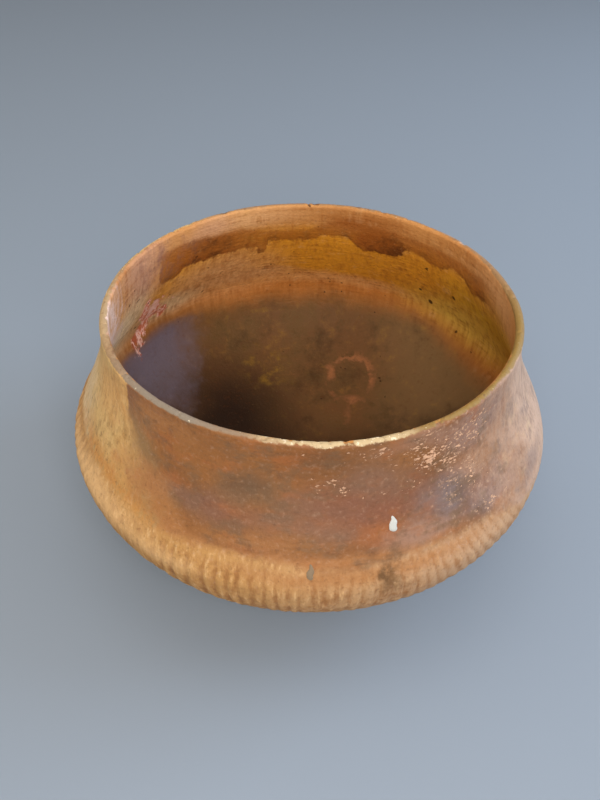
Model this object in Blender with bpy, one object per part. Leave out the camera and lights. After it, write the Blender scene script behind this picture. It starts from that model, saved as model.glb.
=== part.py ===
"""Wide-mouthed earthenware bowl with a leaning neck and a ribbed, rounded body.

Metres, +Z up. The origin is the middle of the flat spot that the bowl stands on.
The bowl is one hollow piece, turned about +Z and open at the top.
"""
import math

import bmesh
import bpy
import numpy as np
from mathutils import Vector
from mathutils.geometry import interpolate_bezier

# Driving dimensions of the bowl
HEIGHT = 0.195            # ground to the top of the lip
MOUTH_DIAMETER = 0.300    # over the outside of the lip
BODY_DIAMETER = 0.366     # over the widest part
WIDEST_HEIGHT = 0.095     # ground to the widest part
FOOT_DIAMETER = 0.090     # flat spot under the round base
NECK_DROP = 0.047         # how far the neck heads straight down before it swings out
SHOULDER_RISE = 0.015     # how far the shoulder heads straight up from the widest part
LIP_THICKNESS = 0.006
WALL_THICKNESS = 0.007    # at the widest part
FLOOR_THICKNESS = 0.009   # above the flat spot

# Driving dimensions of the pressed ribs
RIB_COUNT = 120
RIB_RELIEF = 0.0016       # from a rib's back down to the groove beside it
BAND_RISE = 0.020         # the ribs start this far above the widest part
BAND_DROP = 0.045         # and end this far below it
RIB_START = 0.005         # length over which a groove reaches its depth at the top
RIB_END = 0.015           # and over which it dies out again at the bottom
GROOVE_WANDER = 0.0010    # how far a groove stands off its even place
GROOVE_WAVES = 29         # times that this comes and goes on the way round
RELIEF_WANDER = 0.0003    # how much deeper or shallower than the rest a groove is
RELIEF_WAVES = 23

# How finely each stretch of the outline is cut into rings
UNDERSIDE_RINGS = 4
LOWER_BAND_RINGS = 3
UPPER_BAND_RINGS = 3
NECK_RINGS = 6
LIP_RINGS = 4
INNER_NECK_RINGS = 5
INNER_BOWL_RINGS = 7
CURVE_SAMPLES = 200
SMOOTH_BELOW = math.radians(50)

CLAY_COLOUR = (0.32, 0.125, 0.048, 1.0)
CLAY_ROUGHNESS = 0.62


def clear_scene():
    for item in list(bpy.data.objects):
        bpy.data.objects.remove(item, do_unlink=True)


def clay():
    """Low-fired red-brown earthenware, rubbed to a dull shine."""
    material = bpy.data.materials.new("clay")
    material.use_nodes = True
    shader = material.node_tree.nodes["Principled BSDF"]
    shader.inputs["Base Color"].default_value = CLAY_COLOUR
    shader.inputs["Roughness"].default_value = CLAY_ROUGHNESS
    shader.inputs["Metallic"].default_value = 0.0
    return material


def neck_line():
    """Outside of shoulder and neck as (radius, height), from the widest part to the lip."""
    widest = Vector((BODY_DIAMETER / 2, WIDEST_HEIGHT))
    lip = Vector((MOUTH_DIAMETER / 2, HEIGHT - LIP_THICKNESS / 2))
    shoulder_handle = widest + Vector((0, SHOULDER_RISE))
    neck_handle = lip - Vector((0, NECK_DROP))
    points = interpolate_bezier(widest, shoulder_handle, neck_handle, lip, CURVE_SAMPLES)
    return np.array(points)


def ellipse_line(radius, depth, end_radius):
    """Quarter ellipse that hangs from the widest height, from end_radius out to radius."""
    start = math.asin(end_radius / radius)
    turn = np.linspace(start, math.pi / 2, CURVE_SAMPLES)
    return np.stack([radius * np.sin(turn), WIDEST_HEIGHT - depth * np.cos(turn)], axis=1)


def outer_line():
    """Whole outside, from the edge of the flat spot up to the lip."""
    radius = BODY_DIAMETER / 2
    foot_radius = FOOT_DIAMETER / 2
    depth = WIDEST_HEIGHT / math.sqrt(1 - (foot_radius / radius) ** 2)
    return np.concatenate([ellipse_line(radius, depth, foot_radius)[:-1], neck_line()])


def inner_lines():
    """Inside of the bowl, from its middle up to the widest part, and inside of the neck."""
    neck = neck_line()
    thickness = np.linspace(WALL_THICKNESS, LIP_THICKNESS, len(neck))
    neck_inside = neck - outward(neck) * thickness[:, None]
    radius = BODY_DIAMETER / 2 - WALL_THICKNESS
    bowl_inside = ellipse_line(radius, WIDEST_HEIGHT - FLOOR_THICKNESS, 0)
    return bowl_inside, neck_inside


def outward(line):
    """Unit normals of a line that climbs the outside, pointing away from the axis."""
    along = np.gradient(line, axis=0)
    normal = np.stack([along[:, 1], -along[:, 0]], axis=1)
    return normal / np.linalg.norm(normal, axis=1)[:, None]


def lengths_along(line):
    steps = np.linalg.norm(np.diff(line, axis=0), axis=1)
    return np.concatenate([[0], np.cumsum(steps)])


def points_at(line, lengths):
    """Points of a line at the given lengths along it."""
    along = lengths_along(line)
    return np.stack([np.interp(lengths, along, line[:, axis]) for axis in (0, 1)], axis=1)


def normals_at(line, lengths):
    along = lengths_along(line)
    normals = outward(line)
    return np.stack([np.interp(lengths, along, normals[:, axis]) for axis in (0, 1)], axis=1)


def even_points(line, count):
    return points_at(line, np.linspace(0, lengths_along(line)[-1], count + 1))


def between_heights(line, low, high):
    """The stretch of a climbing line between two heights."""
    along = lengths_along(line)
    start, end = np.interp([low, high], line[:, 1], along)
    return points_at(line, np.linspace(start, end, CURVE_SAMPLES))


def lip_points():
    """Half-round lip, from its outside over the top to its inside."""
    centre = np.array([(MOUTH_DIAMETER - LIP_THICKNESS) / 2, HEIGHT - LIP_THICKNESS / 2])
    turn = np.linspace(0, math.pi, LIP_RINGS + 1)
    return centre + np.stack([np.cos(turn), np.sin(turn)], axis=1) * LIP_THICKNESS / 2


def groove_angle(index):
    """Angle of a groove about the axis; the hand-pressed grooves aren't quite even."""
    turn = math.tau * index / RIB_COUNT
    wander = GROOVE_WANDER / (BODY_DIAMETER / 2)
    return turn + wander * math.sin(GROOVE_WAVES * turn)


def groove_depth(index):
    turn = math.tau * index / RIB_COUNT
    return RIB_RELIEF + RELIEF_WANDER * math.sin(RELIEF_WAVES * turn)


def plain_ring(mesh, point):
    """Ring of vertices, one for each groove."""
    radius, height = point
    ring = []
    for index in range(RIB_COUNT):
        angle = groove_angle(index)
        ring.append(mesh.verts.new((radius * math.cos(angle), radius * math.sin(angle), height)))
    return ring


def ribbed_ring(mesh, point, normal):
    """Ring with three vertices for each rib: its groove, then the two edges of its back."""
    ring = []
    for index in range(RIB_COUNT):
        start = groove_angle(index)
        step = groove_angle(index + 1) - start
        for part in range(3):
            sunk = groove_depth(index) if part == 0 else 0
            radius, height = point - normal * sunk
            angle = start + step * part / 3
            ring.append(mesh.verts.new((radius * math.cos(angle), radius * math.sin(angle), height)))
    return ring


def join_rings(mesh, lower, upper):
    """Faces between two rings, also where only one of them is ribbed."""
    lower_step = len(lower) // RIB_COUNT
    upper_step = len(upper) // RIB_COUNT
    pieces = RIB_COUNT * min(lower_step, upper_step)
    lower_run = len(lower) // pieces
    upper_run = len(upper) // pieces
    for piece in range(pieces):
        below = [lower[(piece * lower_run + i) % len(lower)] for i in range(lower_run + 1)]
        above = [upper[(piece * upper_run + i) % len(upper)] for i in range(upper_run + 1)]
        mesh.faces.new(below + above[::-1])


def band_lengths(band):
    """Where the ribbed rings go along the band, one of them on the widest part."""
    along = lengths_along(band)
    widest = np.interp(WIDEST_HEIGHT, band[:, 1], along)
    lower = np.linspace(RIB_END, widest, LOWER_BAND_RINGS)
    upper = np.linspace(widest, along[-1] - RIB_START, UPPER_BAND_RINGS)
    return np.concatenate([lower, upper[1:]])


def outside_rings(mesh):
    """Rings from the flat spot up to the lip, with the ribbed band on the body."""
    line = outer_line()
    band_bottom = WIDEST_HEIGHT - BAND_DROP
    band_top = WIDEST_HEIGHT + BAND_RISE
    underside = even_points(between_heights(line, line[0, 1], band_bottom), UNDERSIDE_RINGS)
    band = between_heights(line, band_bottom, band_top)
    neck = even_points(between_heights(line, band_top, line[-1, 1]), NECK_RINGS)
    lengths = band_lengths(band)
    ribbed = zip(points_at(band, lengths), normals_at(band, lengths))
    rings = [plain_ring(mesh, point) for point in underside]
    rings += [ribbed_ring(mesh, point, normal) for point, normal in ribbed]
    rings += [plain_ring(mesh, point) for point in neck]
    return rings


def inside_rings(mesh):
    """Rings from the inside of the lip down to just above the middle of the floor."""
    bowl_inside, neck_inside = inner_lines()
    neck = even_points(neck_inside, INNER_NECK_RINGS)[::-1]
    bowl = even_points(bowl_inside, INNER_BOWL_RINGS)[::-1]
    return [plain_ring(mesh, point) for point in [*neck[1:], *bowl[1:-1]]]


def close_floor(mesh, ring):
    middle = mesh.verts.new((0, 0, FLOOR_THICKNESS))
    for index, vertex in enumerate(ring):
        mesh.faces.new((vertex, ring[(index + 1) % len(ring)], middle))


def bowl():
    shape = bmesh.new()
    rings = outside_rings(shape)
    rings += [plain_ring(shape, point) for point in lip_points()[1:]]
    rings += inside_rings(shape)
    for lower, upper in zip(rings, rings[1:]):
        join_rings(shape, lower, upper)
    foot = shape.faces.new(rings[0][::-1])
    close_floor(shape, rings[-1])
    bmesh.ops.recalc_face_normals(shape, faces=shape.faces)
    shape.faces.index_update()
    foot_index = foot.index
    mesh = bpy.data.meshes.new("bowl")
    shape.to_mesh(mesh)
    shape.free()
    mesh.materials.append(clay())
    mesh.shade_smooth()
    mesh.set_sharp_from_angle(angle=SMOOTH_BELOW)
    mesh.polygons[foot_index].use_smooth = False
    item = bpy.data.objects.new("bowl", mesh)
    bpy.context.scene.collection.objects.link(item)
    return item


clear_scene()
bowl()
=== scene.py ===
import math

import bmesh
import bpy
import numpy as np
from mathutils import Matrix, Vector
from mathutils.geometry import interpolate_bezier


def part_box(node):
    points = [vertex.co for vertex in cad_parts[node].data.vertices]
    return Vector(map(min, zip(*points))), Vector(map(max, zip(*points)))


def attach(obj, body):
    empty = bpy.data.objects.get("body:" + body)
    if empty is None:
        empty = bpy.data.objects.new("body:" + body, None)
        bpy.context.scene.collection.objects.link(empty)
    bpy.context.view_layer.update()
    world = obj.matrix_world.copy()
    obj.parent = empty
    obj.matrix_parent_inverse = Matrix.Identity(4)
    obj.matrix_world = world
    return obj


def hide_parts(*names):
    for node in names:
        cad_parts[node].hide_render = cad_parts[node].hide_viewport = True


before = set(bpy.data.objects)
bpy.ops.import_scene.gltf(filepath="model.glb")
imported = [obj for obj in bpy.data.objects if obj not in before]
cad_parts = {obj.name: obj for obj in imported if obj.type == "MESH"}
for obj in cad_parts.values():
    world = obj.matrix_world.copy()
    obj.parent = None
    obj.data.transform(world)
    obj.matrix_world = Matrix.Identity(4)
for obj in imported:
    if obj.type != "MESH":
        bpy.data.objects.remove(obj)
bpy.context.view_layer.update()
scene = bpy.context.scene


# The view
# A hand-held camera looks down into the bowl from a little over half a metre away.
# Its place and turn are in metres and degrees from the bowl's axis and lip.
CAMERA_BACK = 0.4797
CAMERA_ABOVE_LIP = 0.3239
CAMERA_DOWN = 41.19
CAMERA_LEFT = 0.86
CAMERA_ROLL = 1.415
CAMERA_LENS = 36.0
SENSOR_WIDTH = 36.0

low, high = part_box("bowl")
lens = bpy.data.cameras.new("camera")
lens.lens = CAMERA_LENS
lens.sensor_width = SENSOR_WIDTH
camera = bpy.data.objects.new("camera", lens)
scene.collection.objects.link(camera)
turn = (
    Matrix.Rotation(math.radians(CAMERA_LEFT), 4, "Z")
    @ Matrix.Rotation(math.radians(90 - CAMERA_DOWN), 4, "X")
    @ Matrix.Rotation(math.radians(CAMERA_ROLL), 4, "Z")
)
camera.matrix_world = Matrix.Translation((0, -CAMERA_BACK, high.z + CAMERA_ABOVE_LIP)) @ turn
scene.camera = camera
scene.view_settings.view_transform = "Standard"


# The wall
# One hollow piece of low-fired earthenware, built and turned by hand: a round base, a full
# shoulder and a tall neck that leans in to a plain lip. Its section is drawn as a line, which
# Geometry Nodes turn about the axis.
HEIGHT = high.z - low.z
BODY_RADIUS = (high.x - low.x) / 2
MOUTH_RADIUS = 0.150
WIDEST_HEIGHT = 0.095
FOOT_RADIUS = 0.045
NECK_DROP = 0.047
SHOULDER_RISE = 0.015
LIP_THICKNESS = 0.006
WALL_THICKNESS = 0.007
FLOOR_THICKNESS = 0.009
BAND_FINE_LOW = 0.045   # the section is cut finest between this height
BAND_FINE_HIGH = 0.125  # and this one
COLUMNS = 960
CURVE_SAMPLES = 300
FOOT_STEPS = 3
UNDERSIDE_STEPS = 9
BAND_STEPS = 34
NECK_STEPS = 18
LIP_STEPS = 10
INNER_NECK_STEPS = 14
INNER_BOWL_STEPS = 13
MERGE_DISTANCE = 1e-6


class Flow:
    """A number or vector that runs through a node tree. A formula on flows adds its nodes."""

    def __init__(self, socket):
        self.socket = socket
        self.tree = socket.id_data

    def math(self, operation, *others):
        return put(self.tree, "ShaderNodeMath", self, *others, operation=operation)

    def __add__(self, other):
        return self.math("ADD", other)

    def __sub__(self, other):
        return self.math("SUBTRACT", other)

    def __rsub__(self, other):
        return self.math("MULTIPLY", -1) + other

    def __mul__(self, other):
        return self.math("MULTIPLY", other)

    def __truediv__(self, other):
        return self.math("DIVIDE", other)

    __radd__ = __add__

    def ramp(self, start, end, low=0.0, high=1.0):
        """Runs smoothly from low to high while this value runs from start to end."""
        return put(
            self.tree, "ShaderNodeMapRange", self, start, end, low, high,
            interpolation_type="SMOOTHSTEP",
        )

    def hump(self, start, full, fading, end):
        """Rises smoothly from 0 at the start to 1, and falls to 0 again at the end."""
        return self.ramp(start, full) * self.ramp(end, fading)

    def output(self, name):
        """Another output of the node that this value comes from."""
        return Flow(self.socket.node.outputs[name])


def put(tree, kind, *values, named=(), **settings):
    """Adds a node, fills its inputs in order or by name, and returns its first output."""
    node = tree.nodes.new(kind)
    for name, value in settings.items():
        setattr(node, name, value)
    sockets = [socket for socket in node.inputs if socket.enabled]
    fills = list(zip(sockets, values))
    for name, value in dict(named).items():
        fills.append((next(socket for socket in sockets if socket.name == name), value))
    for socket, value in fills:
        if isinstance(value, Flow):
            tree.links.new(value.socket, socket)
        elif value is not None:
            socket.default_value = value
    return Flow(next(socket for socket in node.outputs if socket.enabled))


def lengths_along(line):
    """How far along a line each of its points is."""
    steps = np.linalg.norm(np.diff(line, axis=0), axis=1)
    return np.concatenate([[0], np.cumsum(steps)])


def stretch(line, count):
    """The line again, cut into evenly long steps."""
    line = np.array(line)
    along = lengths_along(line)
    places = np.linspace(0, along[-1], count + 1)
    return np.stack([np.interp(places, along, line[:, axis]) for axis in (0, 1)], axis=1)


def hanging_ellipse(radius, depth, start, end):
    """Part of an ellipse hung from the widest height, between two angles from straight down."""
    turns = np.linspace(start, end, CURVE_SAMPLES)
    return np.stack([radius * np.sin(turns), WIDEST_HEIGHT - depth * np.cos(turns)], axis=1)


def outside_lines():
    """Underside and neck as (radius, height), from the edge of the flat spot to the lip."""
    depth = WIDEST_HEIGHT / math.sqrt(1 - (FOOT_RADIUS / BODY_RADIUS) ** 2)
    foot = math.asin(FOOT_RADIUS / BODY_RADIUS)
    widest = Vector((BODY_RADIUS, WIDEST_HEIGHT))
    lip = Vector((MOUTH_RADIUS, HEIGHT - LIP_THICKNESS / 2))
    shoulder_handle = widest + Vector((0, SHOULDER_RISE))
    neck_handle = lip - Vector((0, NECK_DROP))
    neck = interpolate_bezier(widest, shoulder_handle, neck_handle, lip, CURVE_SAMPLES)
    return hanging_ellipse(BODY_RADIUS, depth, foot, math.pi / 2), np.array(neck)


def inside_lines():
    """Inside of the neck, from the lip down, and inside of the bowl, down to its middle."""
    neck = outside_lines()[1]
    along = np.gradient(neck, axis=0)
    outward = np.stack([along[:, 1], -along[:, 0]], axis=1)
    outward /= np.linalg.norm(outward, axis=1)[:, None]
    thickness = np.linspace(WALL_THICKNESS, LIP_THICKNESS, len(neck))
    inner_radius = BODY_RADIUS - WALL_THICKNESS
    inner_depth = WIDEST_HEIGHT - FLOOR_THICKNESS
    bowl_inside = hanging_ellipse(inner_radius, inner_depth, math.pi / 2, 0)
    return (neck - outward * thickness[:, None])[::-1], bowl_inside


def lip_line():
    """Half-round lip, from its outside over the top to its inside."""
    turns = np.linspace(0, math.pi, CURVE_SAMPLES)
    arc = np.stack([np.cos(turns), np.sin(turns)], axis=1) * LIP_THICKNESS / 2
    return arc + (MOUTH_RADIUS - LIP_THICKNESS / 2, HEIGHT - LIP_THICKNESS / 2)


def section():
    """The whole section, with its points closest where the surface has most to show."""
    underside, neck = outside_lines()
    neck_inside, bowl_inside = inside_lines()
    outside = np.concatenate([underside, neck[1:]])
    below = outside[outside[:, 1] < BAND_FINE_LOW]
    band = outside[(outside[:, 1] >= BAND_FINE_LOW) & (outside[:, 1] < BAND_FINE_HIGH)]
    above = outside[outside[:, 1] >= BAND_FINE_HIGH]
    parts = [
        stretch([(0, 0), below[0]], FOOT_STEPS),
        stretch([*below, band[0]], UNDERSIDE_STEPS),
        stretch([*band, above[0]], BAND_STEPS),
        stretch(above, NECK_STEPS),
        stretch(lip_line(), LIP_STEPS),
        stretch(neck_inside, INNER_NECK_STEPS),
        stretch(bowl_inside, INNER_BOWL_STEPS),
    ]
    return np.concatenate([part[:-1] for part in parts] + [parts[-1][-1:]])


line = section()
crest = int(np.argmax(line[:, 1]))
along = lengths_along(line)
bowl = bpy.data.objects.new("ribbed_bowl", bpy.data.meshes.new("section"))
bowl.data.from_pydata(
    [(radius, 0, height) for radius, height in line],
    [(index, index + 1) for index in range(len(line) - 1)],
    [],
)
bowl.data.attributes.new("run", "FLOAT", "POINT").data.foreach_set("value", along[crest] - along)
scene.collection.objects.link(bowl)

bowl_tree = bpy.data.node_groups.new("ribbed_bowl", "GeometryNodeTree")
bowl_sizes = {}


def bowl_input(name, value, kind="NodeSocketFloat"):
    """Gives the bowl's tree a named input and notes the value that its modifier will set."""
    socket = bowl_tree.interface.new_socket(name, in_out="INPUT", socket_type=kind)
    bowl_sizes[socket.identifier] = value
    return Flow(bowl_tree.nodes["Group Input"].outputs[name])


def remember(wall, name, value):
    """Stores a number on the wall's points under a name."""
    return put(
        wall.tree, "GeometryNodeStoreNamedAttribute", wall,
        named={"Name": name, "Value": value}, data_type="FLOAT",
    )


bowl_tree.nodes.new("NodeGroupInput")
bowl_tree.interface.new_socket("Geometry", in_out="INPUT", socket_type="NodeSocketGeometry")
bowl_tree.interface.new_socket("Geometry", in_out="OUTPUT", socket_type="NodeSocketGeometry")
drawn_line = Flow(bowl_tree.nodes["Group Input"].outputs["Geometry"])
columns = bowl_input("Columns", COLUMNS, "NodeSocketInt")
run = put(bowl_tree, "GeometryNodeInputNamedAttribute", "run", data_type="FLOAT")
line_place = put(bowl_tree, "GeometryNodeInputPosition")
rows = put(bowl_tree, "GeometryNodeAttributeDomainSize", drawn_line)
index = put(bowl_tree, "GeometryNodeInputIndex")
column = (index / rows).math("FLOOR")
row = index - column * rows
angle = column / columns * math.tau
wall = put(bowl_tree, "GeometryNodeMeshGrid", 1.0, 1.0, columns + 1, rows)
spot = put(
    bowl_tree, "GeometryNodeSampleIndex", drawn_line, line_place, row, data_type="FLOAT_VECTOR"
)
radius = put(bowl_tree, "ShaderNodeSeparateXYZ", spot)
turned = put(
    bowl_tree, "ShaderNodeCombineXYZ",
    radius * angle.math("SINE"), radius * angle.math("COSINE") * -1, radius.output("Z"),
)
row_run = put(bowl_tree, "GeometryNodeSampleIndex", drawn_line, run, row, data_type="FLOAT")
wall = remember(wall, "run", row_run)
wall = put(bowl_tree, "GeometryNodeSetPosition", wall, None, turned)
wall = put(bowl_tree, "GeometryNodeMergeByDistance", wall, None, MERGE_DISTANCE)


# The pressed ribs
# A band of shallow upright flutes round the belly, pressed into the leather-hard clay with a
# finger or a stick. They are closest and lean most on the right of the front, no two are alike,
# and wear has all but wiped some of them away.
RIB_COUNT = 120
RIB_RELIEF = 0.0011
BAND_TOP = 0.1170
BAND_BOTTOM = 0.046
BAND_START = 0.011        # length over which a groove reaches its depth at the top
BAND_END = 0.024          # and over which it dies out again at the bottom
BAND_TOP_WAVE = 0.0022    # how far the band's upper edge wavers
BAND_RISE = 0.0040        # how much higher it is right of the middle and far left
BAND_RIGHT_FALL = 0.0140  # and how much lower on the right
RIB_TOP_DROP = 0.0022     # how much lower a groove starts than the ridge beside it
RIB_WANDER = 0.30         # how far a rib strays, in ribs
RIB_CROWDING = 4.9        # how many ribs are pushed together in front
FRONT_CROWDING = 0.39     # the share of them that is pushed left of the middle
RIGHT_CROWDING = 0.61     # and right of it
RIB_LEAN = 210.0          # degrees round for each metre down, on the right
LEFT_LEAN = 0.45          # the share of it on the left, where ribs lean the other way
RIB_WEAR = 0.55           # the most that worn patches take off the grooves' depth
LEFT_WEAR = 0.62          # and a worn stretch on the left
FRONT_WEAR = 0.25         # and one in front and on the right
RIDGE_WEAR = 0.45         # the most that a ridge is sunk
DEPTH_LUCK = 0.8          # how much the grooves' depths differ
LUMPS = 0.20              # how lumpy the band is
RIBS_BELOW_LIP = 0.010    # nothing is pressed this near the lip


def cloud(spot, size, seed=0, detail=2.0, roughness=0.5):
    """Noise from about -1 to 1 whose features have this size in metres, or these along X, Y, Z."""
    sizes = size if isinstance(size, tuple) else (size, size, size)
    scaled = put(
        spot.tree, "ShaderNodeVectorMath", spot, [1 / length for length in sizes],
        (3.7 * seed, 1.3 * seed, 2.1 * seed), operation="MULTIPLY_ADD",
    )
    noise = put(
        spot.tree, "ShaderNodeTexNoise", scaled,
        named={"Scale": 1.0, "Detail": detail, "Roughness": roughness},
    )
    return (noise - 0.5) * 4


def parts_of(spot):
    """The X, Y and Z of a vector."""
    across = put(spot.tree, "ShaderNodeSeparateXYZ", spot)
    return across, across.output("Y"), across.output("Z")


def degrees_round(spot):
    """Degrees round the axis, 0 in front, rising to the right, with the seam at the back."""
    across, back, _ = parts_of(spot)
    return across.math("ARCTAN2", back * -1) * math.degrees(1)


def level_part(vector):
    """The vector without its height."""
    return put(vector.tree, "ShaderNodeVectorMath", vector, (1, 1, 0), operation="MULTIPLY")


def moved(wall, direction, distance):
    """Moves the wall's points in a direction, each by its own distance."""
    offset = put(
        wall.tree, "ShaderNodeVectorMath", direction,
        named={"Scale": distance}, operation="SCALE",
    )
    return put(wall.tree, "GeometryNodeSetPosition", wall, None, None, offset)


spot = put(bowl_tree, "GeometryNodeInputPosition")
height = parts_of(spot)[2]
round_wall = degrees_round(spot)
rib_count = bowl_input("Rib Count", RIB_COUNT)
relief = bowl_input("Rib Relief", RIB_RELIEF)
band_top = bowl_input("Band Top", BAND_TOP)
band_bottom = bowl_input("Band Bottom", BAND_BOTTOM)
band_start = bowl_input("Band Start", BAND_START)
band_end = bowl_input("Band End", BAND_END)
top_wave = bowl_input("Band Top Wave", BAND_TOP_WAVE)
band_rise = bowl_input("Band Rise", BAND_RISE)
right_fall = bowl_input("Band Right Fall", BAND_RIGHT_FALL)
top_drop = bowl_input("Rib Top Drop", RIB_TOP_DROP)
wander = bowl_input("Rib Wander", RIB_WANDER)
crowding = bowl_input("Rib Crowding", RIB_CROWDING)
rib_lean = bowl_input("Rib Lean", RIB_LEAN)
wear = bowl_input("Rib Wear", RIB_WEAR)
ridge_wear = bowl_input("Ridge Wear", RIDGE_WEAR)

on_right = round_wall.hump(6, 50, 60, 110)
on_left = round_wall.hump(-95, -60, -42, -18)
leaning = (band_top - height) * rib_lean * (on_left * LEFT_LEAN - on_right)
place_in_ribs = (round_wall + leaning) / 360 * rib_count
crowded = round_wall.ramp(-20, 16) * FRONT_CROWDING + round_wall.ramp(10, 50) * RIGHT_CROWDING
spread = round_wall.ramp(56, 176) * 0.5 + round_wall.ramp(-176, -56) * 0.5
place_in_ribs = place_in_ribs + crowding * (crowded - spread)
place_in_ribs = place_in_ribs + cloud(spot, (0.026, 0.026, 0.110), seed=1) * wander
whole_ribs = (place_in_ribs + 0.5).math("FLOOR")
off_middle = (place_in_ribs - whole_ribs).math("ABSOLUTE") * 2
groove = off_middle.ramp(0.25, 1.0)
this_rib = whole_ribs.math("FLOORED_MODULO", rib_count)
rib_luck = put(bowl_tree, "ShaderNodeTexWhiteNoise", this_rib, noise_dimensions="1D") - 0.5
ridge_luck = put(bowl_tree, "ShaderNodeTexWhiteNoise", this_rib + 0.5, noise_dimensions="1D")
edge = band_top + (cloud(level_part(spot), 0.060, seed=2, detail=1.0) + rib_luck) * top_wave
risen = round_wall.hump(12, 26, 42, 56) + round_wall.hump(-120, -90, -64, -50)
edge = edge + risen * band_rise - groove * top_drop
edge = edge - round_wall.hump(44, 62, 85, 125) * right_fall
band = (edge - height).ramp(0, band_start) * (height - band_bottom).ramp(0, band_end)
band = band * run.ramp(RIBS_BELOW_LIP, RIBS_BELOW_LIP * 2)
lumps = cloud(spot, (0.009, 0.009, 0.014), seed=3, detail=3.0) * LUMPS
left_by_wear = 1 - cloud(spot, (0.035, 0.035, 0.050), seed=7, detail=2.0).ramp(0, 0.8) * wear
left_by_wear = left_by_wear * (1 - round_wall.hump(-62, -50, -36, -27) * LEFT_WEAR)
left_by_wear = left_by_wear * (1 - round_wall.hump(-14, -4, 70, 110) * FRONT_WEAR)
low_ridge = (1 - groove) * ridge_luck * ridge_luck * ridge_wear * round_wall.ramp(16, 28, 1.0, 0.3)
sunk = groove * (1 + rib_luck * DEPTH_LUCK) * left_by_wear + low_ridge + lumps + 0.1
sunk = (relief * sunk * band).math("MAXIMUM", 0.0)
normal = put(bowl_tree, "GeometryNodeInputNormal")
wall = remember(wall, "band", band)
wall = remember(wall, "groove", (groove * left_by_wear + low_ridge * 0.8) * band)
wall = moved(wall, normal, sunk * -1)


# The hand-built wall
# A bowl this wide isn't turned quite true. The wall sways by a millimetre or so, its right
# shoulder is fuller and its left one slacker, and both faces of the wall go along together.
WALL_SWAY = 0.0010
RIGHT_SHOULDER = 0.0014
LEFT_SHOULDER = 0.0016
LIP_PLANE = HEIGHT - LIP_THICKNESS / 2


def oval(around, down, middle, reach, fray=0.0, soft=0.9):
    """Covers an oval patch, in degrees round and metres down, or on the floor in metres both ways.

    The cover thins out softly towards its edge, which fray can make uneven.
    """
    across = (around - middle[0]) / reach[0]
    along = (down - middle[1]) / reach[1]
    return (1 - (across * across + along * along).math("SQRT") + fray).ramp(0, soft)


sway = bowl_input("Wall Sway", WALL_SWAY)
fuller = bowl_input("Right Shoulder", RIGHT_SHOULDER)
slacker = bowl_input("Left Shoulder", LEFT_SHOULDER)
spot = put(bowl_tree, "GeometryNodeInputPosition")
round_wall = degrees_round(spot)
down = LIP_PLANE - parts_of(spot)[2]
off_widest = down.ramp(0.080, 0.045) + down.hump(0.112, 0.140, 0.170, 0.185)
lean = cloud(spot, 0.110, seed=4, detail=1.0) * sway * off_widest
lean = lean + oval(round_wall, down, (78, 0.072), (48, 0.026)) * fuller
lean = lean - oval(round_wall, down, (-78, 0.074), (48, 0.026)) * slacker
outwards = put(bowl_tree, "ShaderNodeVectorMath", level_part(spot), operation="NORMALIZE")
wall = moved(wall, outwards, lean)


# The worn lip
# The lip was smoothed with a wet finger. Knocks have taken small flakes off its crest, so that
# it dips and breaks a little here and there.
LIP_DIP = 0.0009
LIP_CHIP = 0.0011
LIP_REACH = 0.007    # the wear ends this far from the crest
CREST_REACH = 0.001  # and is full this near to it

dip = bowl_input("Lip Dip", LIP_DIP)
chip = bowl_input("Lip Chip", LIP_CHIP)
spot = put(bowl_tree, "GeometryNodeInputPosition")
near_crest = run.math("ABSOLUTE").ramp(LIP_REACH, CREST_REACH)
slow = cloud(spot, (0.090, 0.090, 1.0), seed=5, detail=1.0).ramp(-1.0, 1.0)
nicks = cloud(spot, (0.009, 0.009, 0.020), seed=6, detail=4.0, roughness=0.6).ramp(0.10, 0.60)
worn = (slow * dip + nicks * chip) * near_crest
drop = put(bowl_tree, "ShaderNodeCombineXYZ", 0.0, 0.0, worn * -1)
wall = put(bowl_tree, "GeometryNodeSetPosition", wall, None, None, drop)


# The skin outside
# Neck and shoulder carry a thin red-brown slip, rubbed to a dull shine and clouded by the fire.
# It thins out over the tops of the ribs, stops short of the left side, where the clay is a pale
# ochre, and has flaked and worn off on the right.
SLIP_BROWN = (120, 76, 43)
SLIP_ORANGE = (142, 92, 48)
SLIP_DARK = (90, 58, 37)
GREY_BROWN = (108, 83, 60)
PURPLE_GREY = (118, 88, 70)
RED_BROWN = (124, 78, 57)
EMBER_ORANGE = (162, 94, 48)
TAN_ORANGE = (166, 112, 66)
DUSTY_PINK = (150, 114, 94)
GREY_PURPLE = (117, 99, 94)
OCHRE = (202, 162, 104)
OCHRE_SHADE = (168, 132, 82)
OLIVE_EDGE = (136, 108, 70)
PALE_OCHRE = (214, 184, 142)
GOLDEN_CLAY = (186, 130, 68)
HONEY = (206, 148, 86)
PALE_PINK = (203, 168, 144)
PINK_SHADE = (156, 128, 110)
WORN_TAN = (182, 145, 118)
FLAKE = (214, 166, 132)
RIB_GOLD = (181, 133, 77)
RIB_PINK = (179, 142, 109)
RIB_GROOVE = (144, 94, 50)
RIB_WORN_AND_LIT = (218, 174, 122)
RIB_SOOT = (108, 76, 46)
UNDERSIDE = (150, 112, 78)
LIP_CREAM = (198, 172, 130)
LIP_OLIVE = (140, 110, 56)
LIP_TAN = (150, 114, 80)
LIP_GREY = (134, 119, 102)
LIP_CHIP_WHITE = (232, 214, 182)
LIP_CREST = -LIP_THICKNESS / 2  # the crest, counted down from the lip's plane
SLIP_EDGE_LEFT = -49            # degrees round at which the slip stops under the lip
BARE_LEFT_END = -158            # and at which it is whole again at the back
SLIP_EDGE_RIGHT = 38            # and at which it begins to wear off
PALE_RIGHT_END = 160            # and at which it is whole again at the back
SLIP_EDGE_BELOW = 0.0790        # how far down it reaches over the ribs
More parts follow.
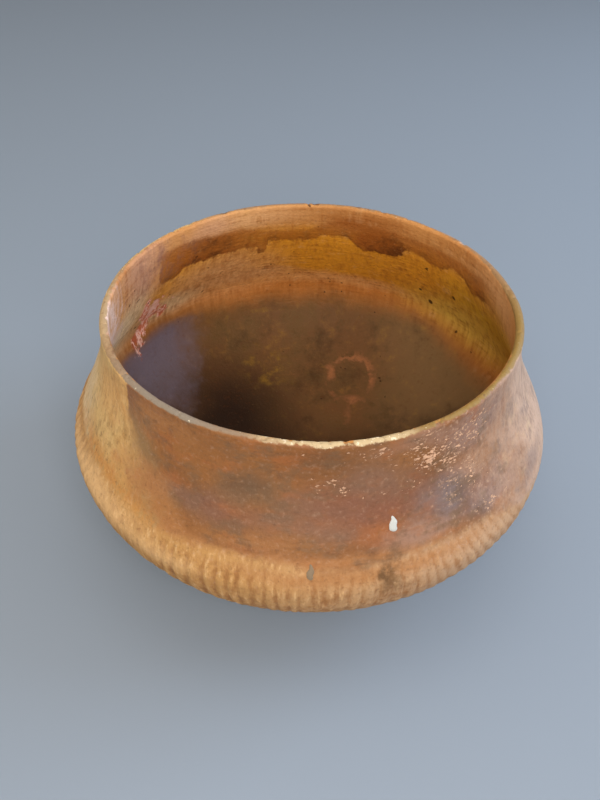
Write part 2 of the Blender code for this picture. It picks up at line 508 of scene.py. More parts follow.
UNDERSIDE_TOP = 0.056           # height at which the underside's colour begins
SLIP_ROUGHNESS = 0.48
CLAY_ROUGHNESS = 0.82
SLIP_SHINE = 0.24
FINE_RELIEF = 0.00035


def tone(colour):
    """A colour as the eye sees it, in 255ths, as the linear light that a shader takes."""
    return (*(((part / 255 + 0.055) / 1.055) ** 2.4 for part in colour), 1.0)


def over(below, colour, cover):
    """Lays a colour over another as thickly as cover says, from 0 to 1."""
    if not isinstance(below, Flow):
        below = tone(below)
    if not isinstance(colour, Flow):
        colour = tone(colour)
    return put(cover.tree, "ShaderNodeMix", cover, below, colour, data_type="RGBA")


def dabbed(skin, around, down, dabs):
    """Lays soft ovals over a skin: a colour, middle, reach, cover and perhaps a fray for each."""
    for colour, middle, reach, cover, *fray in dabs:
        skin = over(skin, colour, oval(around, down, middle, reach, *fray) * cover)
    return skin


def swelled(value, around, down, swells, soft=0.9):
    """Adds to a value in soft ovals: a middle, a reach and how much for each."""
    for middle, reach, more in swells:
        value = value + oval(around, down, middle, reach, soft=soft) * more
    return value


def thickest(covers):
    """The thickest of several covers at each place."""
    most, *others = covers
    for cover in others:
        most = most.math("MAXIMUM", cover)
    return most


def clay_material(name):
    """A new material, and the place on the bowl that it colours."""
    material = bpy.data.materials.new(name)
    material.use_nodes = True
    spot = put(material.node_tree, "ShaderNodeTexCoord").output("Object")
    return material, spot


def stored(tree, name):
    """A number that Geometry Nodes kept on the bowl's points."""
    return put(tree, "ShaderNodeAttribute", attribute_name=name).output("Fac")


def finish_clay(material, skin, roughness, height, shine):
    """Gives a material's shader its colour, its roughness and its fine relief."""
    tree = material.node_tree
    shader = tree.nodes["Principled BSDF"]
    bump = put(
        tree, "ShaderNodeBump",
        named={"Height": height, "Distance": FINE_RELIEF, "Strength": 1.0},
    )
    tree.links.new(skin.socket, shader.inputs["Base Color"])
    tree.links.new(roughness.socket, shader.inputs["Roughness"])
    tree.links.new(bump.socket, shader.inputs["Normal"])
    shader.inputs["Specular IOR Level"].default_value = shine


def worn_lip(skin, spot, fray):
    """The bare clay along the crest of the lip: cream in front, olive right and grey left."""
    around = degrees_round(spot) + cloud(spot, 0.020, seed=31, detail=3.0) * 8
    down = LIP_PLANE - parts_of(spot)[2]
    crumbs = cloud(spot, 0.0035, seed=32, detail=3.0, roughness=0.6)
    cream = oval(around, down, (6, LIP_CREST), (24, 0.030), soft=0.7)
    olive = oval(around, down, (60, LIP_CREST), (58, 0.030), soft=0.7)
    grey = oval(around, down, (-36, LIP_CREST), (32, 0.030), soft=0.8)
    yellow = oval(around, down, (-82, LIP_CREST), (26, 0.030), crumbs * 0.3, 0.8)
    bare = over(over(LIP_TAN, LIP_OLIVE, olive), LIP_GREY, grey)
    bare = over(bare, LIP_CREAM, cream * 0.9 + yellow * 0.4)
    bare = over(bare, LIP_CHIP_WHITE, (crumbs + cream * 0.45).ramp(0.75, 1.0) * 0.8)
    left = oval(around, down, (-56, LIP_CREST), (52, 0.030), soft=0.7)
    far_right = oval(around, down, (88, LIP_CREST), (34, 0.030))
    width = 0.0009 + cream * 0.0007 + olive * 0.0002 + left * 0.0012 + far_right * 0.0030
    reach = width + LIP_CREST - down + (fray * 0.0008 + crumbs * 0.0008) * (cream * 0.8 + 0.4)
    bare = over(bare, SLIP_DARK, (crumbs * -1 + fray * 0.4).ramp(0.35, 0.9) * 0.45)
    return over(skin, bare, reach.ramp(-0.0003, 0.0007) * 0.95)


outside, spot = clay_material("burnished_outside")

# Ways in which the skin is uneven, and places that waver with them
fray = cloud(spot, 0.012, seed=11, detail=4.0, roughness=0.6)
drift = cloud(spot, 0.050, seed=12, detail=3.0)
sink = cloud(spot, 0.045, seed=18, detail=3.0)
mottle = cloud(spot, 0.010, seed=13, detail=5.0, roughness=0.65)
fine = cloud(spot, 0.0028, seed=14, detail=3.0, roughness=0.6)
rub = cloud(spot, (0.030, 0.030, 0.0022), seed=15, detail=2.0)
drag = cloud(spot, (0.0035, 0.0035, 0.026), seed=16, detail=3.0, roughness=0.6)
strokes = cloud(spot, (0.0028, 0.0028, 0.016), seed=20, detail=4.0, roughness=0.6)
true_around = degrees_round(spot)
true_down = LIP_PLANE - parts_of(spot)[2]
around = true_around + drift * 4 + fray * 2
down = true_down + sink * 0.005 + fray * 0.0020

# The slip, clouded by the fire
skin = over(SLIP_BROWN, SLIP_ORANGE, (drift + mottle * 0.4).ramp(-0.7, 0.9))
skin = dabbed(skin, around, down, (
    (SLIP_ORANGE, (-33, 0.018), (20, 0.030), 0.9),
    (SLIP_ORANGE, (-24, 0.034), (14, 0.016), 0.5),
    (GREY_BROWN, (-13, 0.034), (13, 0.018), 0.7),
    (SLIP_DARK, (6, 0.014), (22, 0.022), 0.35),
    (RED_BROWN, (14, 0.042), (24, 0.028), 0.9),
    (PURPLE_GREY, (17, 0.024), (12, 0.022), 0.55),
    (PURPLE_GREY, (-25, 0.053), (16, 0.013), 0.8),
    (PURPLE_GREY, (0, 0.040), (10, 0.014), 0.5),
    (RED_BROWN, (-14, 0.052), (22, 0.012), 0.5),
    (TAN_ORANGE, (-11, 0.066), (17, 0.007), 0.5),
    (EMBER_ORANGE, (16, 0.059), (9, 0.013), 0.5),
    (SLIP_ORANGE, (-41, 0.017), (13, 0.022), 0.9),
    (TAN_ORANGE, (-43, 0.014), (8, 0.022), 0.4),
    (TAN_ORANGE, (-35, 0.007), (15, 0.012), 0.4),
    (SLIP_DARK, (-14, 0.031), (8, 0.009), 0.4),
    (TAN_ORANGE, (-30, 0.074), (22, 0.009), 0.8),
    (TAN_ORANGE, (0, 0.076), (40, 0.009), 0.8),
    (TAN_ORANGE, (26, 0.073), (18, 0.011), 0.7),
    (GREY_PURPLE, (34, 0.054), (16, 0.028), 0.95),
    (SLIP_DARK, (39, 0.058), (7, 0.016), 0.4),
    (WORN_TAN, (42, 0.040), (9, 0.018), 0.4),
    (GREY_PURPLE, (46, 0.066), (13, 0.016), 0.9),
    (GREY_PURPLE, (44, 0.014), (16, 0.024), 0.8),
    (DUSTY_PINK, (32, 0.005), (24, 0.011), 0.6),
    (DUSTY_PINK, (24, 0.066), (14, 0.011), 0.8),
    (DUSTY_PINK, (41, 0.016), (11, 0.020), 0.7),
    (DUSTY_PINK, (47, 0.054), (12, 0.014), 0.4),
    (GREY_PURPLE, (53, 0.055), (9, 0.014), 0.5),
    (DUSTY_PINK, (50, 0.066), (12, 0.012), 0.7),
))
smudge = oval(around - down * 180, down, (-48.5, 0.022), (5.5, 0.050))
skin = over(skin, PURPLE_GREY, smudge * 0.25)
skin = over(skin, SLIP_DARK, smudge * (0.025 - down).ramp(0, 0.015) * 0.2)
embers = cloud(spot, (0.024, 0.024, 0.015), seed=33, detail=5.0, roughness=0.6)
ashes = cloud(spot, (0.020, 0.020, 0.014), seed=34, detail=5.0, roughness=0.6)
redder = 1 - oval(around, down, (38, 0.050), (20, 0.036), soft=0.8) * 0.7
skin = over(skin, EMBER_ORANGE, (embers + rub * 0.2).ramp(-0.1, 0.9) * redder * 0.50)
skin = over(skin, GREY_BROWN, (ashes + rub * 0.2).ramp(-0.1, 0.7) * 0.60)
skin = over(skin, SLIP_DARK, (mottle + rub * 0.3).ramp(0.1, 1.0) * 0.40)
skin = over(skin, SLIP_ORANGE, (mottle * -1 + rub * 0.3).ramp(0.2, 1.0) * redder * 0.40)
skin = dabbed(skin, around, down, (
    (PURPLE_GREY, (-3, 0.054), (17, 0.013), 0.38),
    (PURPLE_GREY, (-19, 0.042), (12, 0.011), 0.30),
    (PURPLE_GREY, (18, 0.028), (10, 0.013), 0.40),
    (PURPLE_GREY, (8, 0.044), (12, 0.009), 0.30),
    (PURPLE_GREY, (7, 0.056), (9, 0.010), 0.55),
))

# The bare clay on the left
deep = true_down.ramp(0.016, 0.046)
left_edge = true_down.ramp(0.018, 0.050) * 9.5 + true_down.ramp(0.050, 0.088) * 15.5
past_edge = left_edge + SLIP_EDGE_LEFT - true_around + fray * 1.2 + (drift * 5 + mottle * 3) * deep
short_of_back = (true_around - BARE_LEFT_END + drift * 12 + fray * 4).ramp(0, 30)
faded = (past_edge + 10).ramp(0, 10) * true_down.ramp(0.008, 0.028) * short_of_back
skin = over(skin, over(OLIVE_EDGE, TAN_ORANGE, true_down.ramp(0.036, 0.052)), faded * 0.65)
bare_left = (past_edge / (deep * 13 + 1.5)).ramp(0, 1) * short_of_back
ochre = over(OCHRE, GOLDEN_CLAY, (true_down + sink * 0.010 + fray * 0.004).ramp(0.045, 0.070))
ochre = over(ochre, OCHRE_SHADE, (drift * 0.5 + drag * 0.7 + mottle * 0.9).ramp(-0.2, 0.9))
ochre = over(ochre, OLIVE_EDGE, (strokes * 0.8 + mottle * 0.7).ramp(0.0, 1.0) * 0.36)
ochre = over(ochre, RIB_WORN_AND_LIT, (strokes * -0.8 - mottle * 0.6).ramp(0.1, 1.1) * 0.60)
flushed = (embers * 0.7 - mottle * 0.6).ramp(0.0, 0.9) * true_down.ramp(0.01, 0.05)
ochre = over(ochre, EMBER_ORANGE, flushed * 0.6)
gritty = (fine + mottle * 0.8).ramp(0.5, 1.3) * true_down.ramp(0.03, 0.06)
ochre = over(ochre, GREY_BROWN, gritty * 0.8)
beside_slip = past_edge.ramp(12, 1) * true_down.ramp(0.055, 0.035)
ochre = over(ochre, HONEY, beside_slip * (mottle * 0.4 + 0.7).ramp(0, 1) * 0.7)
pale_patch = oval(true_around, down, (-82, 0.062), (20, 0.056), fray * 0.2)
ochre = over(ochre, PALE_OCHRE, pale_patch * (strokes * -0.5 + 0.75).ramp(0, 1))
skin = over(skin, ochre, bare_left)
skin = dabbed(skin, around, down, (
    (GOLDEN_CLAY, (-47, 0.052), (8, 0.020), bare_left * 0.5, mottle * 0.3),
    (SLIP_ORANGE, (-33, 0.069), (20, 0.011), 0.3, fray * 0.2),
    (HONEY, (-60, 0.024), (16, 0.024), 0.45, mottle * 0.3),
    (PALE_OCHRE, (-74, 0.076), (15, 0.010), 0.45, mottle * 0.3),
))

# The pale right, where handling wore the slip thin
past_right_edge = true_around - SLIP_EDGE_RIGHT + fray * 6 + drift * 9 + drag * 5 + mottle * 5
short_of_back = (PALE_RIGHT_END - true_around + drift * 12 + fray * 4).ramp(0, 40)
pale_right = past_right_edge.ramp(0, 36) * short_of_back
pink = over(PALE_PINK, PINK_SHADE, (drag * 0.6 + mottle * 0.7 + drift * 0.5).ramp(-0.5, 1.2) * 0.9)
pink = dabbed(pink, around, down, [(WORN_TAN, (56, 0.062), (12, 0.020), 0.7)])
pink = over(pink, GREY_PURPLE, (ashes + drag * 0.3).ramp(0.1, 0.8) * 0.45)
pink = over(pink, PALE_OCHRE, (embers + strokes * 0.3).ramp(0.1, 0.9) * 0.40)
skin = over(skin, pink, pale_right * 0.9)
skin = dabbed(skin, around, down, [(GREY_PURPLE, (64, 0.075), (12, 0.010), 0.5, fray * 0.2)])

# Small flakes of slip that came off
flaking = thickest(
    oval(around, down, middle, reach, soft=0.8) * strength
    for middle, reach, strength in (
        ((31, 0.020), (11, 0.026), 0.56),
        ((34, 0.026), (7, 0.015), 0.62),
        ((29, 0.025), (6, 0.012), 0.60),
        ((41, 0.014), (11, 0.020), 0.56),
        ((14, 0.006), (13, 0.012), 0.31),
        ((9, 0.028), (8, 0.012), 0.36),
        ((-1, 0.006), (6, 0.004), 0.36),
        ((23, 0.036), (6, 0.008), 0.30),
        ((38, 0.046), (12, 0.018), 0.42),
        ((45, 0.071), (9, 0.010), 0.34),
    )
)
chips = cloud(spot, (0.0032, 0.0032, 0.0016), seed=17, detail=3.0, roughness=0.65)
clumps = cloud(spot, (0.007, 0.007, 0.016), seed=19, detail=2.0)
flaked = (chips * 0.8 + flaking + clumps * 0.30).ramp(0.62, 0.76) * flaking.ramp(0.02, 0.10)
skin = over(skin, FLAKE, flaked * 0.85)

# The clay of the ribs, sooty in places, darker in the grooves, partly its own colour and partly
# painted shade, lighter on the ridges, partly wear and partly a painted highlight, and lighter on
# the lowest ribs at the left as painted bounce light; and the clay of the underside
band = stored(outside.node_tree, "band")
groove = stored(outside.node_tree, "groove")
bare_top = SLIP_EDGE_BELOW + fray * 0.0012 + mottle * 0.0012
bare_top = swelled(bare_top, around, true_down, (
    ((-15, 0), (22, 1), -0.0045),
    ((31, 0), (23, 1), -0.0025),
    ((-62, 0), (30, 1), -0.004),
    ((8, 0), (8, 1), 0.001),
    ((70, 0), (28, 1), 0.016),
))
bare_band = (true_down - bare_top).ramp(-0.0035, 0.0040)
rib_clay = over(RIB_GOLD, RIB_PINK, around.ramp(-25, 45) * (170 - around).ramp(0, 30))
rib_clay = over(rib_clay, TAN_ORANGE, (mottle * 0.7 + drift * 0.5).ramp(-0.2, 1.0) * 0.6)
rough = around.ramp(18, 34, 1.0, 0.5)
# Painted shade in the grooves: the groove colour darkens them, partly the clay's own colour
in_groove = groove * 0.9 - strokes * rough * 0.7 + mottle * 0.3
rib_clay = over(rib_clay, RIB_GROOVE, in_groove.ramp(0.0, 1.1) * 0.75)
# Painted highlight on the ridges: the worn colour lightens them, partly real wear
on_ridge = strokes * rough * 1.2 + mottle * 0.4 - groove * 0.8 + 0.1
rib_clay = over(rib_clay, RIB_WORN_AND_LIT, on_ridge.ramp(0.0, 1.2) * 0.7)
rib_clay = dabbed(rib_clay, around, down, (
    (TAN_ORANGE, (14, 0.085), (48, 0.010), 0.75),
    # Painted bounce light: these two patches lighten the lowest ribs on the left
    (RIB_WORN_AND_LIT, (-60, 0.091), (36, 0.020), 0.7),
    (RIB_WORN_AND_LIT, (-31, 0.097), (14, 0.012), 0.45),
))
soot = oval(around, down, (14, 0.084), (4.5, 0.010), mottle * 0.5, 1.2) * 0.8
soot = soot + oval(around, down, (17, 0.094), (7.5, 0.018), mottle * 0.5, 1.2) * 0.8
soot = soot + oval(around, down, (-66, 0.078), (14, 0.012)) * 0.15
rib_clay = over(rib_clay, RIB_SOOT, soot * (mottle * 1.2 + fine * 0.5 + 1.0).ramp(0, 1))
skin = over(skin, rib_clay, bare_band)
below_ribs = (true_down + UNDERSIDE_TOP - LIP_PLANE).ramp(0, 0.016)
base_clay = over(UNDERSIDE, RIB_SOOT, (drift * 0.6 + mottle * 0.4).ramp(-0.2, 0.9) * 0.6)
skin = over(skin, base_clay, below_ribs)

# Grain over all of it, the lip, and how matt each part is
skin = over(skin, SLIP_DARK, fine.ramp(0.1, 1.2) * 0.40)
speckled = true_around.hump(24, 36, 100, 160) * 0.45 + 0.28
speckled = speckled * (1 - bare_left * 0.5)
skin = over(skin, WORN_TAN, (fine * -1).ramp(0.1, 1.2) * speckled)
skin = worn_lip(skin, spot, fray)
matt = band + bare_left * 0.6 + pale_right * 0.3 + below_ribs + flaked * 0.5
roughness = matt.ramp(0, 1, SLIP_ROUGHNESS, CLAY_ROUGHNESS) + mottle * 0.05
height = fine * 0.4 + mottle * matt.ramp(0, 1, 0.25, 0.8)
height = height + drag * matt.ramp(0, 1, 0.1, 0.6) - flaked * 0.8
finish_clay(outside, skin, roughness, height, SLIP_SHINE)


# The skin inside
# The same slip was wiped on inside. Use has stained it in rings: a brown tide line under the lip
# that ran down in places, and gold and orange on the wall. The floor is darker over its left, and
# darker still towards the front, which is painted shade under the front wall. Smoke runs up its
# left side with a painted blue-grey sheen, and on the left wall lie a painted lilac sheen and pale
# patches that are partly painted light.
INNER_LIP = (190, 130, 72)
INNER_PALE = (216, 162, 110)
TIDE_BROWN = (149, 82, 29)
TIDE_DARK = (104, 56, 20)
PLUM = (138, 96, 82)
GOLD = (214, 141, 38)
OLIVE = (202, 154, 44)
ORANGE = (182, 112, 50)
DULL_TAN = (222, 162, 104)
LIGHT_OLIVE = (226, 182, 78)
LIGHT_ORANGE = (222, 155, 90)
BOWL_BROWN = (108, 72, 38)
BOWL_OLIVE = (104, 76, 40)
BOWL_TAN = (134, 104, 66)
BOWL_DARK = (41, 23, 8)
SMOKE_AND_SHEEN_BLUE = (108, 97, 108)
MAUVE = (194, 144, 114)
LEFT_OLIVE = (248, 216, 166)
PEELED_RED = (224, 118, 80)
PEELED_DARK = (180, 92, 62)
PEELED_PINK = (255, 206, 186)
LILAC_SHEEN = (240, 211, 198)
SMEAR = (166, 106, 64)
PIT = (56, 30, 12)
TIDE_HEAD = 0.011             # how far down the tide line begins
TIDE_FOOT = 0.0335            # and ends
TIDE_RIGHT_END = 98           # and between which degrees it runs, 180 at the back
TIDE_LEFT_END = 239
RING_MIDDLE = (0.038, 0.110)  # across and back, of a ring on the floor
RING_RADIUS = 0.022
SHEEN_START = 263             # between which degrees a painted lilac sheen lies
SHEEN_END = 292
INNER_ROUGHNESS = 0.60
INNER_SHINE = 0.15

inside, spot = clay_material("stained_inside")

# Places inside, with 180 degrees at the back, and ways in which the skin is uneven
across, back, level_here = parts_of(spot)
true_around = (across * -1).math("ARCTAN2", back) * math.degrees(1) + 180
true_down = LIP_PLANE - level_here
fray = cloud(spot, 0.010, seed=21, detail=4.0, roughness=0.6)
drift = cloud(spot, 0.050, seed=22, detail=3.0)
sink = cloud(spot, 0.040, seed=26, detail=3.0)
mottle = cloud(spot, 0.012, seed=23, detail=5.0, roughness=0.65)
fine = cloud(spot, 0.0028, seed=24, detail=3.0, roughness=0.6)
wipe = cloud(spot, (0.060, 0.060, 0.0028), seed=25, detail=3.0)
runs = cloud(spot, (0.0045, 0.0045, 0.070), seed=27, detail=3.0)
around = true_around + drift * 3 + fray * 1.5
down = true_down + sink * 0.004 + fray * 0.0015

# The wall, stained gold and orange
skin = over(INNER_LIP, GOLD, down.ramp(0.010, 0.034))
skin = over(skin, ORANGE, down.ramp(0.074, 0.094))
skin = dabbed(skin, around, down, (
    (INNER_PALE, (204, 0.006), (26, 0.016), 0.8),
    (TIDE_BROWN, (112, 0.004), (30, 0.024), 0.4),
    (ORANGE, (90, 0.030), (22, 0.050), 0.6),
    (INNER_PALE, (101, 0.020), (27, 0.048), 0.75),
    (TIDE_BROWN, (162, 0.008), (24, 0.016), 0.7),
    (DULL_TAN, (213, 0.066), (32, 0.050), 0.9),
    (OLIVE, (112, 0.058), (34, 0.048), 0.9),
    (LIGHT_ORANGE, (178, 0.086), (54, 0.013), 0.9),
    (LIGHT_OLIVE, (124, 0.086), (38, 0.034), 0.95),
    (DULL_TAN, (202, 0.076), (26, 0.013), 0.8),
    (LIGHT_OLIVE, (94, 0.050), (16, 0.026), 0.6),
    (MAUVE, (218, 0.010), (14, 0.018), 0.5),
    (MAUVE, (250, 0.004), (26, 0.014), 0.6),
    (MAUVE, (250, 0.030), (20, 0.050), 0.9),
    # The two LEFT_OLIVE patches are partly painted light, lighter where the left wall faces the
    # light from the right
    (LEFT_OLIVE, (255, 0.068), (20, 0.048), 1.0),
    (LEFT_OLIVE, (231, 0.083), (17, 0.022), 0.7),
))
trails = cloud(spot, (0.0024, 0.0024, 0.050), seed=30, detail=2.0)
skin = over(skin, TIDE_BROWN, (wipe * 0.6 + runs * 0.5 + mottle * 0.5).ramp(0, 1.1) * 0.55)
trailing = (trails * 0.5 + runs * 0.6 + drift * 0.5).ramp(-0.7, 1.3)
skin = over(skin, TIDE_BROWN, trailing * down.ramp(0.006, 0.034, 0.1, 0.50))
skin = over(skin, INNER_PALE, (mottle * 0.7 - wipe * 0.4 - runs * 0.4).ramp(0.1, 1.2) * 0.45)

# The tide line
tide_foot = TIDE_FOOT + sink * 0.002 + fray * 0.0030 + trails.ramp(0.1, 1.0) * 0.001
tide_foot = swelled(tide_foot, true_around + fray, true_down, (
    ((116, 0), (8, 1), 0.003),
    ((127, 0), (7, 1), -0.006),
    ((144, 0), (6, 1), -0.005),
    ((158, 0), (11, 1), 0.009),
    ((173, 0), (8, 1), -0.004),
    ((189, 0), (8, 1), 0.001),
    ((198, 0), (2.5, 1), 0.013),
    ((216, 0), (24, 1), 0.007),
    ((234, 0), (6, 1), 0.011),
), soft=0.6)
tide_head = swelled(TIDE_HEAD + sink * 0.003, around, down, (
    ((190, 0), (20, 1), 0.009),
    ((212, 0), (20, 1), 0.002),
))
tide = (true_down - tide_head + fray * 0.001).ramp(-0.002, 0.004)
tide = tide * (tide_foot - true_down).ramp(0, 0.0035)
tide = tide * (around - TIDE_RIGHT_END).ramp(0, 20)
tide = tide * (TIDE_LEFT_END - true_around + fray).ramp(0, 1.5)
thick = swelled(0.66, around, down, (
    ((157, 0.028), (12, 0.020), 0.45),
    ((222, 0.028), (24, 0.026), 0.28),
    ((116, 0.026), (8, 0.012), 0.16),
), soft=0.8)
at_foot = (true_down - tide_foot + 0.011).ramp(0, 0.009)
darker = mottle * 0.9 + drift * 0.5 + thick + at_foot * 0.5 - 1.1
tide_clay = over(TIDE_BROWN, TIDE_DARK, darker.ramp(-0.5, 0.8))
skin = over(skin, tide_clay, tide * (thick + at_foot * 0.12))
plum = oval(around, down, (240, 0.016), (23, 0.040))
skin = over(skin, PLUM, plum * (mottle * 0.8 + runs * 0.5 + drift * 0.4).ramp(-0.5, 0.9) * 0.8)

# The darker floor, its painted shade towards the front, and the smoke with its painted sheen
floor_brown = over(BOWL_BROWN, BOWL_OLIVE, (drift * 0.6 + mottle * 0.5).ramp(-0.5, 0.7))
floor_brown = over(floor_brown, BOWL_TAN, across.ramp(0.040, 0.120) * 0.7)
floor_brown = over(floor_brown, OLIVE, (fray * 0.5 - mottle * 0.8).ramp(0.1, 1.3) * 0.22)
floor_brown = over(floor_brown, BOWL_DARK, (sink * 0.5 + mottle * 0.6).ramp(0.0, 1.0) * 0.5)
wall_right = oval(around, down, (116, 0.100), (38, 1.0))
wall_left = oval(around, down, (226, 0.100), (20, 1.0))
skin = over(skin, floor_brown, (down - wall_right * 0.013 + wall_left * 0.004).ramp(0.094, 0.122))
# Darker over the left and middle of the floor
darkest = oval(across + drift * 0.010, back + sink * 0.010, (-0.070, 0.055), (0.095, 0.100))
skin = over(skin, BOWL_DARK, darkest * down.ramp(0.118, 0.150))
# Painted shade: the front of the floor, under the front wall, is darkened
painted_front_shade = (0.075 - back + drift * 0.012).ramp(0, 0.060) * down.ramp(0.120, 0.150)
skin = over(skin, BOWL_DARK, painted_front_shade * (mottle * 0.2 + 0.9).ramp(0.2, 1))
# Smoke up the left side, painted blue-grey: partly a smoke stain, partly a painted sheen of cool
# light
smoke_and_sheen = oval(across, back, (-0.150, 0.096), (0.064, 0.090), fray * 0.15, 0.8)
smoke_and_sheen = smoke_and_sheen * (-0.094 - across + fray * 0.003).ramp(0, 0.012) * down.ramp(0.100, 0.116)
skin = over(skin, SMOKE_AND_SHEEN_BLUE, smoke_and_sheen * 0.85)

# A painted lilac sheen on the left wall, where it faces the light from the right
lilac_sheen = (true_around + true_down * 200 - SHEEN_START + fray * 3 + runs * 5).ramp(0, 14)
lilac_sheen = lilac_sheen * (0.088 - down).ramp(0, 0.034)
lilac_sheen = lilac_sheen * (SHEEN_END - true_around).ramp(0, 8)
skin = over(skin, LILAC_SHEEN, lilac_sheen * (mottle * 0.6 + 0.9).ramp(0.2, 1.2) * 0.8)

# Red clay on the left, where the skin has peeled
bent = around - (down - 0.084).math("ABSOLUTE") * 170
peeled = thickest((
    oval(bent, down, (238, 0.082), (3.2, 0.034), fray * 0.5 + mottle * 0.2, 0.3),
    oval(around, down, (236, 0.074), (4.5, 0.014), fray * 0.5, 0.3),
    oval(around, down, (232, 0.087), (2, 0.009), fray * 0.5, 0.3),
))
veins = cloud(spot, (0.006, 0.006, 0.016), seed=28, detail=3.0, roughness=0.6)
red = over(PEELED_RED, PEELED_DARK, (mottle + fray * 0.6 + (down - 0.080) * 30).ramp(-0.3, 0.9))
red = over(red, PEELED_PINK, veins.math("ABSOLUTE").ramp(0.26, 0.05) * 0.85)
red = over(red, PEELED_PINK, oval(around, down, (237, 0.072), (4, 0.014), veins * 0.3, 0.6) * 0.7)
skin = over(skin, red, peeled * 0.9)

# A smeared ring on the floor, and a golden stain beside it
ring_across = across - RING_MIDDLE[0] + fray * 0.002
ring_back = back - RING_MIDDLE[1] + mottle * 0.003
out = (ring_across * ring_across + ring_back * ring_back).math("SQRT") + mottle * 0.0040
ring = ((out - RING_RADIUS).math("ABSOLUTE") + fray * 0.0014).ramp(0.0043, 0.0006)
ring = ring * (ring_across * 10 + ring_back * 20 + mottle * 0.9 + 0.35).ramp(-0.2, 0.9)
tail = oval(across + fray * 0.003, back, (0.036, 0.074), (0.005, 0.016), fray * 0.4)
smear = thickest((
    ring,
    tail * 0.6,
    oval(across, back + fray * 0.003, (0.038, 0.090), (0.017, 0.006), fray * 0.4),
    oval(across, back, (0.020, 0.118), (0.007, 0.013), fray * 0.5),
))
smear = smear * (mottle * 0.9 + fray * 0.3 + 0.6).ramp(0, 1)
skin = over(skin, SMEAR, smear * 0.75)
golden = oval(across, back, (-0.040, 0.118), (0.034, 0.026), fray * 0.4)
skin = over(skin, OLIVE, golden * mottle.ramp(-0.2, 0.9) * 0.35)

# Pits and grain, the lip, and how matt the inside is
for middle, reach in (
    ((130, 0.060), (0.8, 0.003)),
    ((141, 0.085), (0.9, 0.003)),
    ((144, 0.072), (0.7, 0.002)),
):
    skin = over(skin, PIT, oval(true_around, true_down, middle, reach, fray * 0.4, 0.4) * 0.9)
specks = cloud(spot, 0.0065, seed=29, detail=1.0)
skin = over(skin, PIT, (specks + drift * 0.15).ramp(1.05, 1.20) * 0.8)
skin = over(skin, TIDE_DARK, (fine * 0.7 + mottle * 0.4).ramp(0.1, 1.0) * 0.35)
skin = over(skin, DULL_TAN, (fine * -1).ramp(0.3, 1.2) * down.ramp(0.09, 0.12, 0.22, 0.06))
skin = worn_lip(skin, spot, fray)
roughness = INNER_ROUGHNESS + mottle * 0.06 - smoke_and_sheen * 0.10
height = fine * 0.5 + mottle * 0.7 + wipe * 0.3 - peeled * 0.6
finish_clay(inside, skin, roughness, height, INNER_SHINE)


# Firing the bowl
# The last nodes give each face of the wall its skin. The evaluated bowl then becomes a plain
# mesh in one piece, which takes the place of the bare form.
wall = put(bowl_tree, "GeometryNodeSetShadeSmooth", wall)
wall = put(bowl_tree, "GeometryNodeRealizeInstances", wall)
on_inside = run.math("LESS_THAN", 0.0)
wall = put(bowl_tree, "GeometryNodeSetMaterial", wall, None, outside)
wall = put(bowl_tree, "GeometryNodeSetMaterial", wall, on_inside, inside)
leave = bowl_tree.nodes.new("NodeGroupOutput")
bowl_tree.links.new(wall.socket, leave.inputs["Geometry"])

turning = bowl.modifiers.new("turned and pressed", "NODES")
turning.node_group = bowl_tree
for identifier, value in bowl_sizes.items():
    turning[identifier] = value
depsgraph = bpy.context.evaluated_depsgraph_get()
finished = bpy.data.meshes.new_from_object(bowl.evaluated_get(depsgraph), depsgraph=depsgraph)
bowl.modifiers.clear()
bowl.data = finished
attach(bowl, "root")
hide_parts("bowl")


# The lime drips
# Two drops ran down the outside and set: a white one on the shoulder and a grey one on the ribs.
# Each is a low tear-shaped bead, thickest near its foot, that sits on the wall.
DRIP_THICKNESS = 0.0016
DRIP_NARROWING = 0.45
DRIP_BULGES = 0.10
DRIP_BEND = 0.0004
DRIP_THINNING = 0.35
DRIP_ROUGHNESS = 0.7
DRIP_RINGS = 24
DRIP_STEPS = 40


def drip(name, around, down, width, length, colour):
    """A bead with its middle at a place on the outside wall, set into it by half its thickness."""
    turn = math.radians(around)
    outwards = Vector((math.sin(turn), -math.cos(turn), 0))
    start = outwards * BODY_RADIUS * 2 + Vector((0, 0, LIP_PLANE - down))
    _, middle, normal, _ = bowl.ray_cast(start, outwards * -1)
    sideways = Vector((0, 0, 1)).cross(normal).normalized()
    upwards = normal.cross(sideways)
    shape = bmesh.new()
    bmesh.ops.create_uvsphere(shape, u_segments=DRIP_STEPS, v_segments=DRIP_RINGS, radius=1.0)
    for vertex in shape.verts:
        side, up, out = vertex.co
        fullness = 1 - DRIP_NARROWING * up + DRIP_BULGES * math.sin(7 * up + around)
        side = side * fullness * width / 2 + DRIP_BEND * math.sin(4 * up)
        out = out * DRIP_THICKNESS / 2 * (1 - DRIP_THINNING * up)
        vertex.co = middle + sideways * side + upwards * up * length / 2 + normal * out
    mesh = bpy.data.meshes.new(name)
    shape.to_mesh(mesh)
    shape.free()
    mesh.shade_smooth()
    material = bpy.data.materials.new(name)
    material.use_nodes = True
    lime = material.node_tree.nodes["Principled BSDF"]
    lime.inputs["Base Color"].default_value = tone(colour)
    lime.inputs["Roughness"].default_value = DRIP_ROUGHNESS
    mesh.materials.append(material)
    bead = bpy.data.objects.new(name, mesh)
    scene.collection.objects.link(bead)
    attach(bead, "root")


drip("white_lime_drip", 19.5, 0.0565, 0.0050, 0.0110, (188, 186, 178))
drip("grey_lime_drip", 1.5, 0.0800, 0.0042, 0.0110, (128, 106, 80))


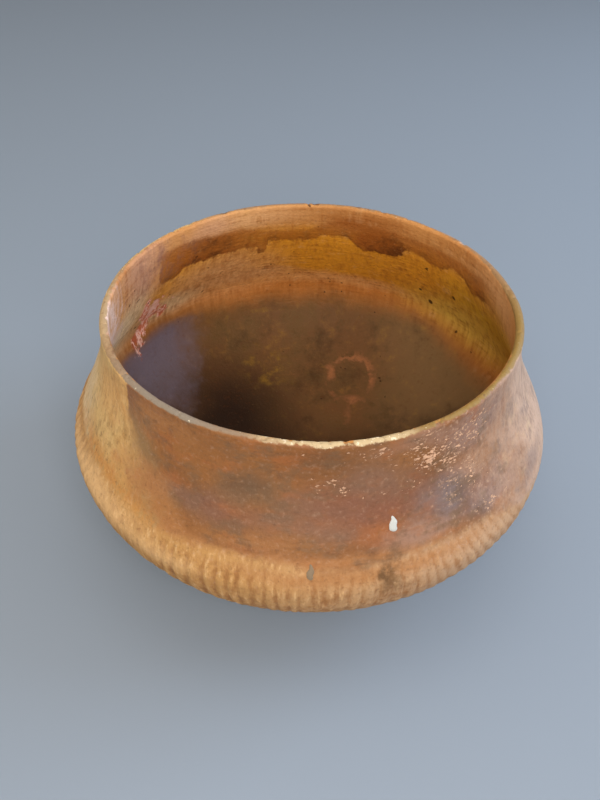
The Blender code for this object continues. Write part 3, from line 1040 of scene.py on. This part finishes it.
# The floor and the light
# A plain pale floor under soft lamps: one stands behind the camera and looks into the bowl, a
# weak one hangs overhead, a cool one stands to the right and a weak warm one to the left.
FLOOR_COLOUR = (0.232, 0.263, 0.306, 1)
FLOOR_RADIUS = 6.0
FLOOR_SIDES = 64
FLOOR_ROUGHNESS = 0.9
SKY_COLOUR = (1.0, 0.985, 0.97, 1)
SKY_STRENGTH = 0.455
LAMP_TARGET = Vector((0, 0, 0.1))

floor = bpy.data.objects.new("floor", bpy.data.meshes.new("floor"))
shape = bmesh.new()
bmesh.ops.create_circle(shape, cap_ends=True, radius=FLOOR_RADIUS, segments=FLOOR_SIDES)
shape.to_mesh(floor.data)
shape.free()
paper = bpy.data.materials.new("floor_paper")
paper.use_nodes = True
matt_paper = paper.node_tree.nodes["Principled BSDF"]
matt_paper.inputs["Base Color"].default_value = FLOOR_COLOUR
matt_paper.inputs["Roughness"].default_value = FLOOR_ROUGHNESS
floor.data.materials.append(paper)
scene.collection.objects.link(floor)

world = bpy.data.worlds.new("studio")
scene.world = world
world.use_nodes = True
sky = world.node_tree.nodes["Background"]
sky.inputs["Color"].default_value = SKY_COLOUR
sky.inputs["Strength"].default_value = SKY_STRENGTH


def softbox(name, place, width, height, watts, colour):
    """A large soft lamp at a place, turned to the bowl."""
    lamp = bpy.data.lights.new(name, "AREA")
    lamp.shape = "RECTANGLE"
    lamp.size, lamp.size_y = width, height
    lamp.energy = watts
    lamp.color = colour
    box = bpy.data.objects.new(name, lamp)
    scene.collection.objects.link(box)
    turn = (LAMP_TARGET - Vector(place)).to_track_quat("-Z", "Y")
    box.matrix_world = Matrix.Translation(place) @ turn.to_matrix().to_4x4()


softbox("lamp_front", (0.1, -1.1, 0.95), 0.9, 0.7, 17, (1.0, 0.985, 0.96))
softbox("lamp_above", (0.0, 0.3, 1.7), 2.0, 1.4, 9, (1.0, 1.0, 1.0))
softbox("lamp_right", (1.9, 0.5, 1.1), 1.4, 1.2, 36, (0.62, 0.79, 1.0))
softbox("lamp_left", (-1.9, 0.0, 1.0), 1.4, 1.2, 6.5, (1.0, 0.95, 0.68))
